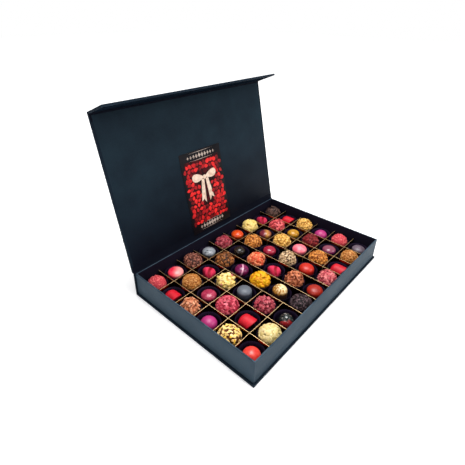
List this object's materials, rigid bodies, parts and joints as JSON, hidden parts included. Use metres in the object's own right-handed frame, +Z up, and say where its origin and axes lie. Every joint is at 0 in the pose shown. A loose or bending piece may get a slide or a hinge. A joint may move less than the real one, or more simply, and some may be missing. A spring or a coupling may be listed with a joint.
{
  "type": "box of chocolate pralines",
  "caption": "Open book-style gift box with a hinged lid and flap, a gilt divider grid, and a praline or truffle in a pleated paper cup in each cell.",
  "frame": {"origin": "middle of the base board's underside", "axes": "+X along the long side, to the right of someone facing the open box; +Y back to the hinge; +Z up"},
  "size_m": [0.334, 0.2763, 0.2775],
  "materials": {
    "tray_paper": "matte laminated slate-blue paper outside, black inside, over greyboard",
    "cover_paper": "matte laminated blue-black paper over greyboard",
    "gold_card": "thin card with a gold metallic face",
    "greeting_card": "printed card, dark with red hearts and a cream bow",
    "blood_orange_dome": "moulded chocolate shell, blood orange dome",
    "cream_truffle": "rolled chocolate truffle, cream truffle",
    "marbled_dome": "moulded chocolate shell, marbled dome",
    "dark_shavings": "rolled chocolate truffle, dark shavings",
    "brick_dome": "moulded chocolate shell, brick dome",
    "pink_curls": "rolled chocolate truffle, pink curls",
    "cherry_log": "moulded chocolate shell, cherry log",
    "toffee_crumble": "rolled chocolate truffle, toffee crumble",
    "grey_violet_dome": "moulded chocolate shell, grey violet dome",
    "almond_nib": "rolled chocolate truffle, almond nib",
    "ruby_curls": "rolled chocolate truffle, ruby curls",
    "gold_drip_dome": "moulded chocolate shell, gold drip dome",
    "copper_curls": "rolled chocolate truffle, copper curls",
    "chili_cone": "moulded chocolate shell, chili cone",
    "caramel_nut": "rolled chocolate truffle, caramel nut",
    "bronze_violet_dome": "moulded chocolate shell, bronze violet dome",
    "coral_dusted": "rolled chocolate truffle, coral dusted",
    "magenta_dome": "moulded chocolate shell, magenta dome",
    "crimson_curls": "rolled chocolate truffle, crimson curls",
    "slate_dome": "moulded chocolate shell, slate dome",
    "mango_crumble": "rolled chocolate truffle, mango crumble",
    "raspberry_leaf": "moulded chocolate shell, raspberry leaf",
    "hazelnut_nib": "rolled chocolate truffle, hazelnut nib",
    "pink_dome": "moulded chocolate shell, pink dome",
    "dark_cherry_curls": "rolled chocolate truffle, dark cherry curls",
    "salmon_curls": "rolled chocolate truffle, salmon curls",
    "rose_pearl_dome": "moulded chocolate shell, rose pearl dome",
    "lemon_bits": "rolled chocolate truffle, lemon bits",
    "striped_purple_dome": "moulded chocolate shell, striped purple dome",
    "peach_crumble": "rolled chocolate truffle, peach crumble",
    "crimson_dome": "moulded chocolate shell, crimson dome",
    "golden_crumble": "rolled chocolate truffle, golden crumble",
    "gold_dome": "moulded chocolate shell, gold dome",
    "cocoa_flake": "rolled chocolate truffle, cocoa flake",
    "black_dome": "moulded chocolate shell, black dome",
    "plum_gold_dome": "moulded chocolate shell, plum gold dome",
    "rose_curls": "rolled chocolate truffle, rose curls",
    "blush_dome": "moulded chocolate shell, blush dome",
    "milk_crumble": "rolled chocolate truffle, milk crumble",
    "silver_dome": "moulded chocolate shell, silver dome",
    "orange_dome": "moulded chocolate shell, orange dome",
    "lemon_crumble": "rolled chocolate truffle, lemon crumble",
    "brown_shavings": "rolled chocolate truffle, brown shavings"
  },
  "bodies": {
    "base": {"tray": "tray_paper", "divider_grid": "gold_card", "cover_base": "cover_paper", "c1_r1_blood_orange_dome": "blood_orange_dome", "c2_r1_cream_truffle": "cream_truffle", "c3_r1_marbled_dome": "marbled_dome", "c4_r1_dark_shavings": "dark_shavings", "c5_r1_brick_dome": "brick_dome", "c6_r1_pink_curls": "pink_curls", "c7_r1_cherry_log": "cherry_log", "c8_r1_toffee_crumble": "toffee_crumble", "c9_r1_grey_violet_dome": "grey_violet_dome", "c1_r2_almond_nib": "almond_nib", "c2_r2_cherry_log": "cherry_log", "c3_r2_ruby_curls": "ruby_curls", "c4_r2_gold_drip_dome": "gold_drip_dome", "c5_r2_copper_curls": "copper_curls", "c6_r2_chili_cone": "chili_cone", "c7_r2_caramel_nut": "caramel_nut", "c8_r2_bronze_violet_dome": "bronze_violet_dome", "c9_r2_coral_dusted": "coral_dusted", "c1_r3_magenta_dome": "magenta_dome", "c2_r3_crimson_curls": "crimson_curls", "c3_r3_slate_dome": "slate_dome", "c4_r3_mango_crumble": "mango_crumble", "c5_r3_raspberry_leaf": "raspberry_leaf", "c6_r3_hazelnut_nib": "hazelnut_nib", "c7_r3_pink_dome": "pink_dome", "c8_r3_dark_cherry_curls": "dark_cherry_curls", "c9_r3_magenta_dome": "magenta_dome", "c1_r4_salmon_curls": "salmon_curls", "c2_r4_rose_pearl_dome": "rose_pearl_dome", "c3_r4_lemon_bits": "lemon_bits", "c4_r4_striped_purple_dome": "striped_purple_dome", "c5_r4_peach_crumble": "peach_crumble", "c6_r4_crimson_dome": "crimson_dome", "c7_r4_golden_crumble": "golden_crumble", "c8_r4_gold_dome": "gold_dome", "c9_r4_golden_crumble": "golden_crumble", "c1_r5_cherry_log": "cherry_log", "c2_r5_toffee_crumble": "toffee_crumble", "c3_r5_raspberry_leaf": "raspberry_leaf", "c4_r5_cocoa_flake": "cocoa_flake", "c5_r5_black_dome": "black_dome", "c6_r5_caramel_nut": "caramel_nut", "c7_r5_plum_gold_dome": "plum_gold_dome", "c8_r5_rose_curls": "rose_curls", "c9_r5_cherry_log": "cherry_log", "c1_r6_coral_dusted": "coral_dusted", "c2_r6_blush_dome": "blush_dome", "c3_r6_milk_crumble": "milk_crumble", "c4_r6_silver_dome": "silver_dome", "c5_r6_ruby_curls": "ruby_curls", "c6_r6_orange_dome": "orange_dome", "c7_r6_lemon_crumble": "lemon_crumble", "c8_r6_raspberry_leaf": "raspberry_leaf", "c9_r6_brown_shavings": "brown_shavings"},
    "lid": {"lid": "cover_paper", "card": "greeting_card"},
    "flap": {"flap": "cover_paper"}
  },
  "joints": [
    {"name": "lid_hinge", "type": "hinge", "parent": "base", "child": "lid", "pos_m": [0, 0.1125, 0.0395], "axis": [-1, 0, 0], "range_deg": [-102.2, 84.8]},
    {"name": "flap_hinge", "type": "hinge", "parent": "lid", "child": "flap", "pos_m": [0, 0.16372, 0.26221], "axis": [-1, 0, 0], "range_deg": [-9.3, 80.7]}
  ]
}
